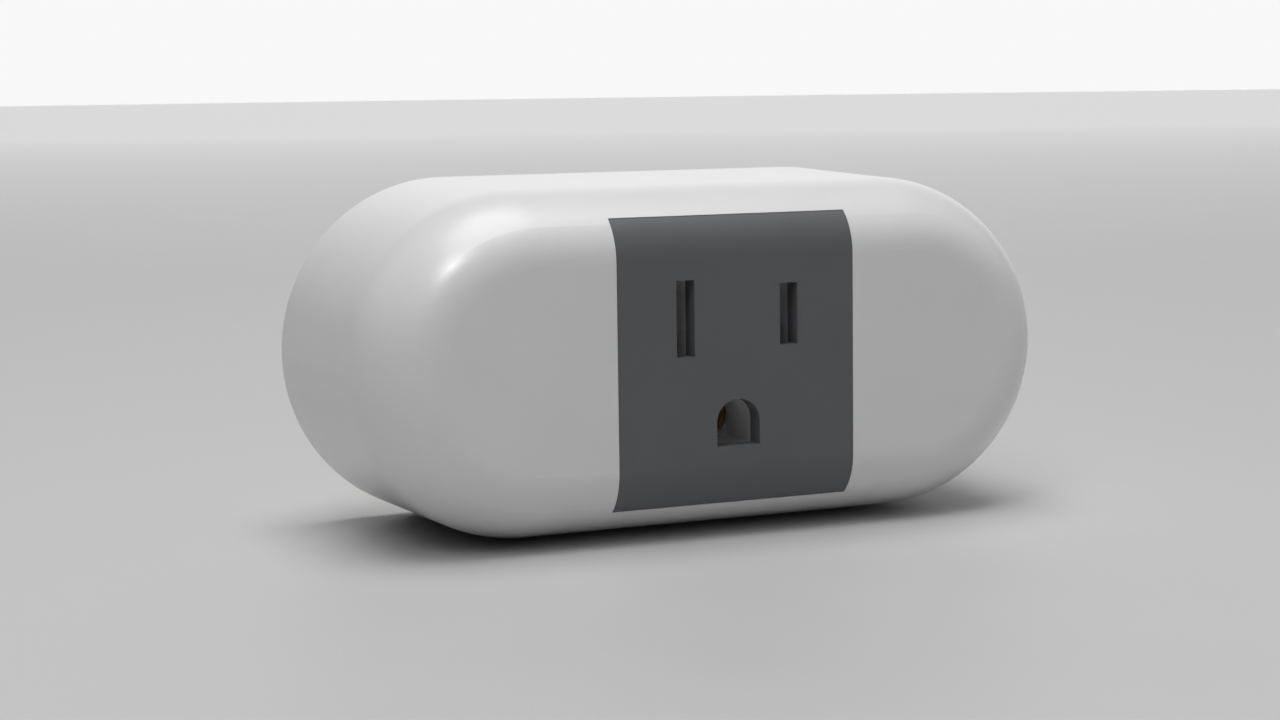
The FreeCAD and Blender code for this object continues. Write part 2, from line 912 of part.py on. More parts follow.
def make_contact_carrier():
    block = box(
        "carrier_block",
        about("carrier_half_width"),
        (CARRIER_FRONT, "-carrier_back"),
        about("carrier_half_height"),
    )
    chamber_front = f"{CARRIER_FRONT} + carrier_front_wall"
    chambers = [
        box(
            f"chamber_{side}",
            centred(f"{sign} * blade_x", "chamber_half_width"),
            (chamber_front, "0"),
            centred("blade_z", "chamber_half_height"),
        )
        for side, sign in (("neutral", "-1"), ("line", "1"))
    ]
    front_wall = (f"{CARRIER_FRONT} - overcut", f"{chamber_front} + overcut")
    slots = [
        blade_slot("carrier_neutral_slot", "-1", "neutral_slot_height", "inner_hole_gap", front_wall),
        blade_slot("carrier_line_slot", "1", "line_slot_height", "inner_hole_gap", front_wall),
    ]
    entry_ends = (f"{CARRIER_FRONT} - overcut", "-ground_bore_front")
    entry = ground_hole("carrier_ground_hole", "inner_hole_gap", entry_ends)
    bore = rod("ground_bore", "ground_bore_radius", "Y", ("-ground_bore_front", "0"), ("0", "ground_z"))
    pilot_ends = ("-board_shank_end - overcut", "0")
    pilots = board_screw_rods("carrier_pilots", "board_screw_pilot", pilot_ends)
    node(cut("contact_carrier", block, *chambers, *slots, entry, bore, pilots), "contact_carrier")


def make_carrier_cap():
    plate = box(
        "cap_plate",
        about("carrier_half_width"),
        ("-carrier_back", "-cap_back"),
        about("carrier_half_height"),
    )
    feet = board_screw_rods("cap_feet", "cap_foot_radius", ("-cap_back - cap_foot_root", "-board_face"))
    through = ("-carrier_back - overcut", "0")
    holes = board_screw_rods("cap_screw_holes", "board_screw_clear", through)
    tails = tail_slots("cap_tail_slots", "pass_gap", through)
    lug = line_lug_slot("cap_lug_slot", "pass_gap", through)
    node(cut("carrier_cap", join("cap_solid", plate, feet), holes, tails, lug), "carrier_cap")


def make_blade_retainer():
    plate = box(
        "retainer_plate",
        about("retainer_half_width"),
        ("-retainer_front", "-retainer_back"),
        ("retainer_low", "retainer_high"),
    )
    foot_ends = ("-board_back", "-retainer_back")
    places = [
        ("-retainer_foot_x", "-retainer_foot_z"),
        ("retainer_foot_x", "-retainer_foot_z"),
        ("0", "retainer_foot_z"),
    ]
    feet = [
        rod(f"retainer_foot_{index}", "retainer_foot_radius", "Y", foot_ends, place)
        for index, place in enumerate(places)
    ]
    tails = tail_slots("retainer_tail_slots", "pass_gap", ("-board_back", "0"))
    node(cut("blade_retainer", join("retainer_solid", plate, *feet), tails), "blade_retainer")


# ---- board and busbars ----


def make_main_board():
    deep = ("-board_face", "-board_back")
    middle = box("board_middle", about("end_centre"), deep, about("board_end_radius"))
    ends = [
        rod(f"board_end_{index}", "board_end_radius", "Y", deep, (f"{sign} * end_centre", "0"))
        for index, sign in enumerate(("-1", "1"))
    ]
    limit = box("board_limit", about("board_half_width"), deep, about(OUTSIDE))
    blank = common("board_blank", join("board_stadium", middle, *ends), limit)
    through = ("-board_face - overcut", "-board_back + overcut")
    notches = boss_rods("board_notches", "board_notch_radius", through)
    tails = tail_slots("board_tail_slots", "fit_gap", through)
    lug = line_lug_slot("board_lug_slot", "fit_gap", through)
    screws = board_screw_rods("board_screw_holes", "board_screw_clear", through)
    pins = [
        rod(f"board_{name}", "terminal_radius + fit_gap", "Y", through, place)
        for name, place in relay_pin_places().items()
    ]
    node(cut("main_board", blank, notches, tails, lug, screws, *pins), "main_board")


def make_busbars():
    deep = ("-busbar_front", "-busbar_back")
    through = ("-board_back", "0")
    hole_radius = "terminal_radius + fit_gap"
    pins = relay_pin_places()

    line_run = box("line_run", ("line_bar_left", "bar_right"), deep, ("line_bar_low", "line_bar_high"))
    tab_tall = ("line_bar_low", "blade_z + tail_high + leaf")
    line_tab = box("line_tab", ("bar_tab_left", "bar_right"), deep, tab_tall)
    tails = tail_slots("busbar_tail_slots", "fit_gap", through)
    feed_hole = rod("line_bar_pin_hole", hole_radius, "Y", through, pins["common_pin"])
    node(cut("line_busbar", join("line_bar", line_run, line_tab), tails, feed_hole), "line_busbar")

    load_run = box("load_run", ("load_bar_left", "bar_right"), deep, ("load_bar_low", "load_bar_high"))
    lug = line_lug_slot("busbar_lug_slot", "fit_gap", through)
    load_hole = rod("load_bar_pin_hole", hole_radius, "Y", through, pins["load_pin"])
    node(cut("load_busbar", load_run, lug, load_hole), "load_busbar")


# ---- relay ----


def relay_pin_places():
    return {
        "common_pin": ("relay_right - relay_wall - end_pin_inset", "0"),
        "load_pin": ("contact_x", "load_pin_z"),
        "coil_pin_low": ("coil_pin_x", "-coil_pin_z"),
        "coil_pin_high": ("relay_right - relay_wall - end_pin_inset", "-coil_pin_z"),
    }


def make_relay_case():
    outer = box(
        "relay_case_block",
        ("relay_left", "relay_right"),
        (above_board("relay_height"), above_board("relay_standoff")),
        about("relay_half"),
    )
    inner = box(
        "relay_case_hollow",
        ("relay_left + relay_wall", "relay_right - relay_wall"),
        (above_board("relay_height - relay_wall"), above_board("0")),
        about("relay_half - relay_wall"),
    )
    node(cut("relay_case", outer, inner), "relay_case")
    floor = box(
        "relay_floor",
        ("relay_left + relay_wall + relay_inner_gap", "relay_right - relay_wall - relay_inner_gap"),
        (above_board("relay_base_top"), above_board("relay_standoff")),
        about("relay_half - relay_wall - relay_inner_gap"),
    )
    through = (above_board("relay_base_top + overcut"), "0")
    holes = [
        rod(f"base_{name}", "terminal_radius", "Y", through, place)
        for name, place in relay_pin_places().items()
    ]
    node(cut("relay_base", floor, *holes), "relay_base")


def make_relay_terminals():
    """The pins through the relay's base, soldered behind the board or in a busbar."""
    places = relay_pin_places()
    pins = [
        rod(
            f"terminal_{name}",
            "terminal_radius",
            "Y",
            (above_board("relay_base_top + leaf"), "-terminal_end"),
            places[name],
        )
        for name in ("common_pin", "coil_pin_low", "coil_pin_high")
    ]
    node(group("relay_terminals", *pins), "relay_terminals")


def make_relay_coil():
    centre = ("coil_x", "0")
    tube_ends = (above_board("spool_top"), above_board("spool_bottom"))
    upper_ends = (above_board("spool_top"), above_board("spool_top - spool_flange"))
    lower_ends = (above_board("spool_bottom + spool_flange"), above_board("spool_bottom"))
    whole_height = (above_board("relay_height"), "0")
    tube = rod("spool_tube", "spool_tube_radius", "Y", tube_ends, centre)
    upper = rod("spool_upper", "spool_radius", "Y", upper_ends, centre)
    lower = rod("spool_lower", "spool_radius", "Y", lower_ends, centre)
    bore = rod("spool_bore", "core_radius + core_gap", "Y", whole_height, centre)
    node(cut("relay_bobbin", join("spool", tube, upper, lower), bore), "relay_bobbin")
    wound = rod("winding_block", "winding_radius", "Y", (upper_ends[1], lower_ends[0]), centre)
    inside = rod("winding_bore", "spool_tube_radius", "Y", whole_height, centre)
    node(cut("relay_coil", wound, inside), "relay_coil")
    shaft_ends = (above_board("pole_bottom + pole_root"), above_board("yoke_bottom"))
    shaft = rod("core_shaft", "core_radius", "Y", shaft_ends, centre)
    pole_ends = (above_board("pole_top"), above_board("pole_bottom"))
    pole = rod("core_pole", "pole_radius", "Y", pole_ends, centre)
    node(join("relay_core", shaft, pole), "relay_core")


def make_relay_yoke():
    foot = box(
        "yoke_foot",
        ("yoke_left", "yoke_right"),
        (above_board("yoke_bottom + yoke_thick"), above_board("yoke_bottom")),
        about("yoke_half"),
    )
    leg = box(
        "yoke_leg",
        ("yoke_right - yoke_thick", "yoke_right"),
        (above_board("yoke_top"), above_board("yoke_bottom")),
        about("yoke_half"),
    )
    hole = rod("yoke_hole", "core_radius", "Y", (above_board("yoke_top"), "0"), ("coil_x", "0"))
    node(cut("relay_yoke", join("yoke_angle", foot, leg), hole), "relay_yoke")


def make_relay_contacts():
    """The armature hinges on the yoke's edge; its spring carries the contact at the far end."""
    armature = box(
        "relay_armature",
        ("armature_left", "armature_right"),
        (above_board("armature_bottom + armature_thick"), above_board("armature_bottom")),
        about("armature_half"),
    )
    node(armature, "relay_armature")
    top = "armature_bottom + armature_thick"
    leaf_spring = box(
        "contact_spring",
        ("spring_left", "spring_right"),
        (above_board(f"{top} + spring_thick"), above_board(top)),
        about("spring_half"),
    )
    centre = ("contact_x", "0")
    button_ends = (above_board(top), above_board("moving_button_bottom"))
    button = rod("moving_button", "contact_radius", "Y", button_ends, centre)
    node(join("relay_moving_contact", leaf_spring, button), "relay_moving_contact")
    post = box(
        "fixed_post",
        centred("contact_x", "post_half_width"),
        (above_board("post_top"), above_board("relay_base_top")),
        ("-post_half_length", "load_pin_z"),
    )
    stud_ends = (above_board("fixed_button_top"), above_board("post_top"))
    stud = rod("fixed_button", "contact_radius", "Y", stud_ends, centre)
    pin = rod(
        "load_terminal",
        "terminal_radius",
        "Y",
        (above_board("post_top"), "-terminal_end"),
        relay_pin_places()["load_pin"],
    )
    node(join("relay_fixed_contact", post, stud, pin), "relay_fixed_contact")


# ---- power supply and other components ----


def upright_can(label, radius, height, place, groove):
    """A round capacitor on its leads, with a shallow groove near its foot."""
    can = rod(f"{label}_can", radius, "Y", (above_board(height), above_board("relay_standoff")), place)
    groove_top = above_board("relay_standoff + 3 * sleeve_lip")
    groove_ends = (groove_top, above_board("relay_standoff + 2 * sleeve_lip"))
    ring = rod(f"{label}_ring", f"{radius} + overcut", "Y", groove_ends, place)
    core = rod(f"{label}_core", f"{radius} - {groove}", "Y", groove_ends, place)
    grooved = cut(f"{label}_body", can, cut(f"{label}_groove", ring, core))
    leg_ends = (above_board("2 * sleeve_lip"), above_board("0"))
    legs = [
        rod(
            f"{label}_leg_{index}",
            "lead_radius",
            "Y",
            leg_ends,
            (f"{place[0]} + {sign} * {radius} / 2", place[1]),
        )
        for index, sign in enumerate(("-1", "1"))
    ]
    node(join(label, grooved, *legs), label)


def make_capacitors():
    film = box(
        "safety_capacitor",
        ("film_left", "film_right"),
        (above_board("film_height"), above_board("0")),
        about("film_half"),
    )
    node(film, "safety_capacitor")
    upright_can("bulk_capacitor", "bulk_radius", "bulk_height", ("bulk_x", "bulk_z"), "bulk_groove")
    upright_can(
        "output_capacitor", "output_radius", "output_height", ("output_x", "output_z"), "output_groove"
    )


def make_varistor():
    disc = rod(
        "varistor_disc",
        "disc_radius",
        "Z",
        ("disc_low", "disc_high"),
        ("disc_x", above_board("disc_centre_height")),
    )
    legs = [
        rod(
            f"varistor_leg_{index}",
            "lead_radius",
            "Y",
            (above_board("disc_centre_height"), above_board("0")),
            (f"disc_x + {sign} * lead_spacing_half", "(disc_low + disc_high) / 2"),
        )
        for index, sign in enumerate(("-1", "1"))
    ]
    node(join("varistor", disc, *legs), "varistor")


def make_fusible_resistor():
    middle = (above_board("fuse_height"), "fuse_z")
    barrel = rod("fuse_barrel", "fuse_radius", "X", ("fuse_left", "fuse_right"), middle)
    wire_ends = ("fuse_left - fuse_lead", "fuse_right + fuse_lead")
    wire = rod("fuse_wire", "fuse_wire_radius", "X", wire_ends, middle)
    leg_ends = (above_board("fuse_height + fuse_bend"), above_board("0"))
    legs = [
        rod(f"fuse_leg_{index}", "lead_radius", "Y", leg_ends, (place, "fuse_z"))
        for index, place in enumerate(wire_ends)
    ]
    node(join("fusible_resistor", barrel, wire, *legs), "fusible_resistor")


def make_small_components():
    bridge = box(
        "bridge_block",
        ("bridge_left", "bridge_right"),
        (above_board("bridge_height"), above_board("0")),
        ("bridge_low", "bridge_high"),
    )
    node(bridge, "bridge_rectifier")
    chip = box(
        "chip_block",
        ("chip_left", "chip_right"),
        ("-board_back", "-board_back + chip_thick"),
        ("chip_low", "chip_high"),
    )
    node(chip, "converter_chip")
    strip = box(
        "shunt_strip",
        ("shunt_left", "shunt_right"),
        (above_board("shunt_height"), above_board("0")),
        ("shunt_low", "shunt_high"),
    )
    under = box(
        "shunt_gap",
        ("shunt_left + shunt_thick", "shunt_right - shunt_thick"),
        (above_board("shunt_height - shunt_thick"), above_board("-overcut")),
        ("shunt_low - overcut", "shunt_high + overcut"),
    )
    node(cut("current_shunt", strip, under), "current_shunt")


def make_transformer():
    """A small converter transformer: a ferrite frame round a bobbin that lies along X."""
    axis = (above_board("bobbin_pin_deck + core_height / 2"), "0")
    window_left = "core_left + core_leg"
    window_right = "core_right - core_leg"
    inside = (window_left, window_right)
    deck_top = above_board("bobbin_pin_deck + core_leg")
    cheek_ends = (
        (window_left, f"{window_left} + flange_thick"),
        (f"{window_right} - flange_thick", window_right),
    )

    frame = box(
        "ferrite_block",
        ("core_left", "core_right"),
        (above_board("bobbin_pin_deck + core_height"), above_board("bobbin_pin_deck")),
        about("core_half - core_leg"),
    )
    window_top = above_board("bobbin_pin_deck + core_height - core_leg / 2")
    window_foot = above_board("bobbin_pin_deck + core_leg / 2")
    window = box("ferrite_window", inside, (window_top, window_foot), about("core_half"))
    limb_ends = ("core_left + leaf", "core_right - leaf")
    limb = rod("ferrite_limb", "tube_radius - leaf", "X", limb_ends, axis)
    node(join("transformer_core", cut("ferrite_frame", frame, window), limb), "transformer_core")

    tube = rod("bobbin_tube", "tube_radius", "X", inside, axis)
    cheek_deep = centred(axis[0], "core_height / 2 - core_leg / 2")
    cheeks = [
        box(f"bobbin_cheek_{index}", ends, cheek_deep, about("bobbin_half"))
        for index, ends in enumerate(cheek_ends)
    ]
    deck_sides = (("core_half - core_leg", "core_half"), ("-core_half", "core_leg - core_half"))
    decks = [
        box(f"bobbin_deck_{index}", inside, (deck_top, above_board("0")), tall)
        for index, tall in enumerate(deck_sides)
    ]
    bridges = [
        box(f"bobbin_bridge_{index}", ends, (deck_top, window_foot), about("core_half"))
        for index, ends in enumerate(cheek_ends)
    ]
    bore = rod("bobbin_bore", "tube_radius - leaf", "X", ("core_left", "core_right"), axis)
    solid = join("bobbin_solid", tube, *cheeks, *decks, *bridges)
    node(cut("transformer_bobbin", solid, bore), "transformer_bobbin")

    wound = rod("coil_block", "coil_radius", "X", (cheek_ends[0][1], cheek_ends[1][0]), axis)
    hollow = rod("coil_bore", "tube_radius", "X", ("core_left", "core_right"), axis)
    node(cut("transformer_winding", wound, hollow), "transformer_winding")


def make_radio():
    board = box(
        "radio_blank",
        ("radio_left", "radio_right"),
        (above_board("radio_top"), above_board("header_height")),
        ("radio_low", "radio_high"),
    )
    node(board, "radio_board")
    shield = box(
        "radio_can",
        ("shield_left", "shield_right"),
        (above_board("shield_top"), above_board("shield_bottom")),
        ("radio_low - shield_thick", "radio_low"),
    )
    node(shield, "radio_shield")
    header = box(
        "radio_strip",
        ("radio_left", "radio_right"),
        (above_board("header_height"), above_board("0")),
        centred("(radio_low + radio_high) / 2", "header_half"),
    )
    node(header, "radio_header")


# ---- power button, switch and status light ----


def make_power_button(forms):
    """An oval key that follows the curve of the end, with a retaining flange and a stem."""
    prism = slot_prism(
        "button_prism",
        ("button_inner", OUTSIDE),
        "-control_depth",
        "button_half_length",
        "button_half_height",
    )
    cap = common("button_cap", prism, forms["proud"])
    flange = slot_prism(
        "button_flange_plate",
        ("button_inner - button_flange", "button_inner"),
        "-control_depth",
        "button_half_length + button_lip",
        "button_half_height + button_lip",
    )
    stem = box(
        "button_stem",
        ("stem_end", "button_inner - button_flange / 2"),
        centred("-control_depth", "stem_half"),
        about("stem_half"),
    )
    node(join("power_button", cap, flange, stem), "power_button")


def make_switch():
    deep = (above_board("switch_height"), above_board("0"))
    middle = ("-control_depth", "0")
    block = box(
        "switch_block",
        ("switch_left + switch_frame", "switch_right"),
        (above_board("switch_height - switch_frame"), above_board("0")),
        about("switch_half - switch_frame"),
    )
    bore_ends = ("plunger_bore_end", "switch_right + overcut")
    bore = rod("switch_bore", "plunger_radius + plunger_gap", "X", bore_ends, middle)
    node(cut("switch_body", block, bore), "switch_body")
    plunger = rod("switch_plunger", "plunger_radius", "X", ("plunger_root", "plunger_end"), middle)
    node(plunger, "switch_plunger")
    shell = box("switch_frame_block", ("switch_left", "switch_right"), deep, about("switch_half"))
    inside = box(
        "switch_frame_hollow",
        ("switch_left + switch_frame", "switch_right + overcut"),
        (above_board("switch_height - switch_frame"), above_board("-overcut")),
        about("switch_half - switch_frame"),
    )
    node(cut("switch_frame", shell, inside), "switch_frame")


def make_status_light(forms):
    place = ("-control_depth", "light_z")
    pipe = rod("light_rod", "light_radius", "X", ("light_left", OUTSIDE), place)
    trimmed = common("light_trimmed", pipe, forms["outer"])
    flange_ends = ("light_flange_left", "light_flange_right")
    flange = rod("light_flange", "light_flange_radius", "X", flange_ends, place)
    node(join("status_light_pipe", trimmed, flange), "status_light_pipe")
    lamp = box(
        "led_block",
        ("led_left", "led_right"),
        (above_board("led_height"), above_board("0")),
        centred("light_z", "led_half"),
    )
    node(lamp, "status_led")


# ---- build, check and write ----


def build():
    fill_sheet()
    forms = {
        "outer": pill("outer_form", "0"),
        "wall": pill("wall_form", "wall"),
        "plate": pill("plate_form", "plate"),
        "deep": pill("deep_form", "plate + backing"),
        "rim": pill("rim_form", "rim"),
        "cover": pill("cover_form", "rim + cover_gap"),
        "proud": pill("proud_form", "-button_proud"),
    }
    make_front_housing(forms)
    make_faceplate(forms)
    make_rear_cover(forms)
    make_screws()
    make_blade("line_blade", "1", "line_tail_end")
    make_blade("neutral_blade", "-1", "neutral_tail_end")
    make_ground_pin()
    make_blade_contact("line_contact", "1", True)
    make_blade_contact("neutral_contact", "-1", False)
    make_ground_contact()
    make_contact_carrier()
    make_carrier_cap()
    make_blade_retainer()
    make_main_board()
    make_busbars()
    make_relay_case()
    make_relay_terminals()
    make_relay_coil()
    make_relay_yoke()
    make_relay_contacts()
    make_capacitors()
    make_varistor()
    make_fusible_resistor()
    make_small_components()
    make_transformer()
    make_radio()
    make_power_button(forms)
    make_switch()
    make_status_light(forms)
    doc.recompute()


def check():
    """Stops unless every object was rebuilt and every piece is a valid solid."""
    for thing in doc.Objects:
        if {"Invalid", "Error"} & set(thing.State):
            raise SystemExit(f"{thing.Label} did not rebuild: {thing.State}")
    for piece in nodes:
        shape = piece.Shape
        if shape.isNull() or not shape.isValid() or not shape.Solids:
            raise SystemExit(f"{piece.Label} is not a valid solid")


def write():
    os.makedirs("parts", exist_ok=True)
    for piece in nodes:
        piece.Shape.exportStep(f"parts/{piece.Label}.step")
        print(f"{piece.Label}: {len(piece.Shape.Solids)} solid, {piece.Shape.Volume:.1f} mm3")


build()
check()
write()
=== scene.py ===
import json
import math

import bmesh
import bpy
from mathutils import Matrix, Vector


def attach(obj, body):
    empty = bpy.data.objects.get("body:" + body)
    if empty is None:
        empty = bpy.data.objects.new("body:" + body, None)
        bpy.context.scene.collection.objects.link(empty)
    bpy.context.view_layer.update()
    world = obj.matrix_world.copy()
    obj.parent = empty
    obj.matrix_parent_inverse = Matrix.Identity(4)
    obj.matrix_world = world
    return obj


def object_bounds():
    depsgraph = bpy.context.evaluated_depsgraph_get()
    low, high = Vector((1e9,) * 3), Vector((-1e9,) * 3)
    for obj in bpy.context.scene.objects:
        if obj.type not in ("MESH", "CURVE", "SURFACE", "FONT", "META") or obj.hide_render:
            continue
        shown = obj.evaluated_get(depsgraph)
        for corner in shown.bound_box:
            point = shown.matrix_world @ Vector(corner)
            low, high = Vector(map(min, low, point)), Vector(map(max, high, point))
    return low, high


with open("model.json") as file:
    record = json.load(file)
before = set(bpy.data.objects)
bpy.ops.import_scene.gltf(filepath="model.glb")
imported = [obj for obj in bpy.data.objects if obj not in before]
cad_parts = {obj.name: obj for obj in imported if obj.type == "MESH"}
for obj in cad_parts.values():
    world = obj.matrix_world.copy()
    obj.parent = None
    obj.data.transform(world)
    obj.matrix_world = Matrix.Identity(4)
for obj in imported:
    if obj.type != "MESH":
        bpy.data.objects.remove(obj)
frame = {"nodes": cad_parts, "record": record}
cad_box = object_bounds()

MM = 0.001
NODES = frame["nodes"]
scene = bpy.context.scene


# ---- values: looks ----

WHITE = (0.80, 0.80, 0.80)
DARK_GREY = (0.132, 0.135, 0.142)
CLEAN_WHITE = (0.87, 0.87, 0.87)
BLACK = (0.022, 0.022, 0.024)
YELLOW = (0.72, 0.50, 0.06)
BLUE = (0.04, 0.12, 0.38)
GREY_GREEN = (0.12, 0.24, 0.16)
COPPER = (0.55, 0.20, 0.06)
TAPE = (0.75, 0.52, 0.06)
TAN = (0.42, 0.30, 0.17)
PLASTIC_IOR = 1.45
COAT_ROUGHNESS = 0.30
EDGE_RADIUS = 0.07 * MM
FLOW_MARKS = 9 * MM  # size of the slight mottle in moulded plastic
HANDLING_WEAR = 2.2 * MM
DRAWN_LINES = 0.12 * MM
DRAWN_LENGTH = 0.06  # how much slower the lines in metal change along their own way
TARNISH_CLOUDS = 1.6 * MM
WAVE_PERIOD = math.tau / 20  # period of a wave texture at scale 1
TRACK_SQUARE = 4.5 * MM
TRACK_PITCH = 0.95 * MM

# ---- values: stage, in metres, watts and degrees ----

CAMERA_PLACE = Vector((-116.8, -272.3, 30.86)) * MM
CAMERA_TURNS = ((-23.70, "Z"), (-6.57, "X"), (0.77, "Y"), (90.0, "X"))
CAMERA_LENS = 67.8
FLOOR_RADIUS = 8.0
FLOOR_MOTTLE = 40 * MM
# Painted light: the floor colour is painted paler towards the back, up to a far colour near white,
# standing in for the bright backdrop's light falling on the far floor.
FLOOR_PAINTED_LIGHT_SWEEP = (0.35, 2.2)  # how far back the floor starts and stops getting paler
FLOOR_FAR_PAINTED_LIGHT = (0.84, 0.84, 0.84, 1.0)
BACKDROP_WAY = (0.40, 0.914, 0.06)
BACKDROP_EDGE = (0.90, 0.97)
LAMP_PLACE = Vector((-0.283, -0.272, 0.502))
LAMP_TARGET = Vector((-0.03, -0.03, 0.01))
OVERHEAD_STRENGTH = 2.08
OVERHEAD_SPREAD = 44.0
GLINT_POWER = 1.6
GLINT_SIZE = 0.02
KEY_POWER = 0.85
KEY_SIZE = 0.28
ROOM_LEFT = (0.01, 0.01, 0.01)
ROOM_RIGHT = (0.27, 0.27, 0.274)
ROOM_BACK = (0.94, 0.94, 0.94)

# ---- values: pieces added inside the case, in millimetres in the row frame ----

BOARD_FACE = -8.6
BOARD_BACK = -7.0
SINK = 0.02  # how far solder and stripes start under or over the surface they lie on
SOLDER_HEIGHT = 0.75
SOLDER_SPREAD = 0.38
SOLDER_PIN = 0.28
LEG_THICKNESS = 0.16
TRANSFORMER_PINS = (15.9, 17.8, 19.8, 21.7)
TRANSFORMER_ROWS = (-4.7, 4.7)
HEADER_PINS = (15.1, 17.64, 20.18, 22.72, 25.26, 27.8)
HEADER_ROW = 9.9
CHIP_LEGS = (14.75, 16.02, 17.29, 18.56)
BRIDGE_LEGS = (14.4, 17.0)
SURFACE_PART_LENGTH = 1.6
SURFACE_PART_WIDTH = 0.8
SURFACE_PART_CAP = 0.28
SURFACE_PART_HEIGHTS = (0.35, 0.55)  # resistor, capacitor
SURFACE_PARTS_BACK = (
    (25.0, -9.5), (25.0, -7.9), (25.0, -6.3), (22.4, 2.2), (22.4, 0.6), (24.8, 1.4),
    (24.8, -0.2), (34.2, -5.2), (34.2, -6.8), (-11.5, -11.6), (-9.2, -11.6), (-6.9, -11.6),
)
SURFACE_PARTS_FRONT = (
    (33.4, 5.2), (33.4, 6.4), (36.4, 5.2), (24.9, -10.9), (22.6, -10.9), (25.2, -5.4),
    (-10.6, -9.6), (25.9, 4.6), (25.9, -0.4), (25.9, 1.2),
)
THROUGH_HOLES = (
    ((-35.2, -4.5), (-35.2, 4.5))  # film capacitor
    + ((-22.5, 10.2), (-17.5, 10.2))  # varistor
    + ((-26.2, -10.2), (-14.3, -10.2))  # fusible resistor
    + ((-27.5, -5.6), (-15.0, -5.6))  # relay coil
    + ((27.6, -8.4), (31.6, -8.4))  # bulk capacitor
    + ((27.95, 2.4), (30.45, 2.4))  # output capacitor
    + tuple((across, up) for across in TRANSFORMER_PINS for up in TRANSFORMER_ROWS)
    + tuple((across, HEADER_ROW) for across in HEADER_PINS)
    + tuple((across, up) for across in (33.7, 36.0) for up in (-2.2, 2.2))  # button switch
)
COIL_CENTRE_X = -25.0
COIL_RADIUS = 3.9
COIL_WIRE = 0.11
COIL_START, COIL_END = BOARD_FACE - 11.1, BOARD_FACE - 3.7
CANS = ((29.6, -8.4, 4.0, 12.5), (29.2, 2.4, 2.5, 7.0))  # X, Z, radius, height of each capacitor
RESISTOR_AXIS = (BOARD_FACE - 2.3, -10.2)  # Y, Z
RESISTOR_BANDS = (
    ("resistor_band_first", -23.6, (0.10, 0.035, 0.012)),
    ("resistor_band_second", -22.0, (0.008, 0.008, 0.009)),
    ("resistor_band_third", -20.4, (0.008, 0.008, 0.009)),
    ("resistor_band_last", -17.2, (0.55, 0.36, 0.08)),
)
# radius, distance along the resistor
BAND_PROFILE = ((1.69, 0.0), (1.73, 0.03), (1.73, 0.67), (1.69, 0.7), (1.69, 0.0))
RADIO_FACE = 9.5
RADIO_BACK = 10.3
FOIL_PROUD = 0.02
FOIL_DEEP = 0.05
FOIL_EDGE = 0.012
ANTENNA_LEFT, ANTENNA_RIGHT = 26.4, 30.6
ANTENNA_START, ANTENNA_STEP, ANTENNA_ROWS = -25.4, 1.5, 7
ANTENNA_LINE = 0.5


# ---- material helpers ----


def new_material(name):
    """A new node material, with its tree, its Principled shader and object coordinates."""
    material = bpy.data.materials.new(name)
    material.use_nodes = True
    tree = material.node_tree
    shader = tree.nodes["Principled BSDF"]
    place = tree.nodes.new("ShaderNodeTexCoord")
    return material, tree, shader, place.outputs["Object"]


def stretched(tree, coordinates, scale):
    """The coordinates multiplied by a different amount along each axis."""
    mapping = tree.nodes.new("ShaderNodeMapping")
    mapping.inputs["Scale"].default_value = scale
    tree.links.new(coordinates, mapping.inputs["Vector"])
    return mapping.outputs["Vector"]


def noise(tree, coordinates, grain, detail=3.0, roughness=0.5):
    """Noise whose features are about this many metres across."""
    texture = tree.nodes.new("ShaderNodeTexNoise")
    texture.inputs["Scale"].default_value = 1.0 / grain
    texture.inputs["Detail"].default_value = detail
    texture.inputs["Roughness"].default_value = roughness
    tree.links.new(coordinates, texture.inputs["Vector"])
    return texture.outputs["Fac"]


def spread(tree, factor, low, high, start=0.3, end=0.7):
    """Turns a 0 to 1 pattern into values between low and high."""
    reach = tree.nodes.new("ShaderNodeMapRange")
    reach.inputs["From Min"].default_value = start
    reach.inputs["From Max"].default_value = end
    reach.inputs["To Min"].default_value = low
    reach.inputs["To Max"].default_value = high
    tree.links.new(factor, reach.inputs["Value"])
    return reach.outputs["Result"]


def vary(tree, factor, socket, low, high, start=0.3, end=0.7):
    """Lets a pattern move a socket between two values."""
    tree.links.new(spread(tree, factor, low, high, start, end), socket)


def two_colours(tree, factor, first, second, start=0.3, end=0.7):
    ramp = tree.nodes.new("ShaderNodeValToRGB")
    ramp.color_ramp.elements[0].position = start
    ramp.color_ramp.elements[0].color = (*first, 1.0)
    ramp.color_ramp.elements[1].position = end
    ramp.color_ramp.elements[1].color = (*second, 1.0)
    tree.links.new(factor, ramp.inputs["Fac"])
    return ramp.outputs["Color"]


def bump(tree, shader, height, depth, strength=1.0, under=None):
    """Raises the surface by a pattern this many metres deep, over another normal if given."""
    node = tree.nodes.new("ShaderNodeBump")
    node.inputs["Strength"].default_value = strength
    node.inputs["Distance"].default_value = depth
    tree.links.new(height, node.inputs["Height"])
    if under is not None:
        tree.links.new(under, node.inputs["Normal"])
    tree.links.new(node.outputs["Normal"], shader.inputs["Normal"])


def shade(colour, amount):
    return tuple(channel * amount for channel in colour)


def rounded_edges(tree):
    """The surface normal softened along sharp edges, which then catch the light."""
    edge = tree.nodes.new("ShaderNodeBevel")
    edge.samples = 4
    edge.inputs["Radius"].default_value = EDGE_RADIUS
    return edge.outputs["Normal"]


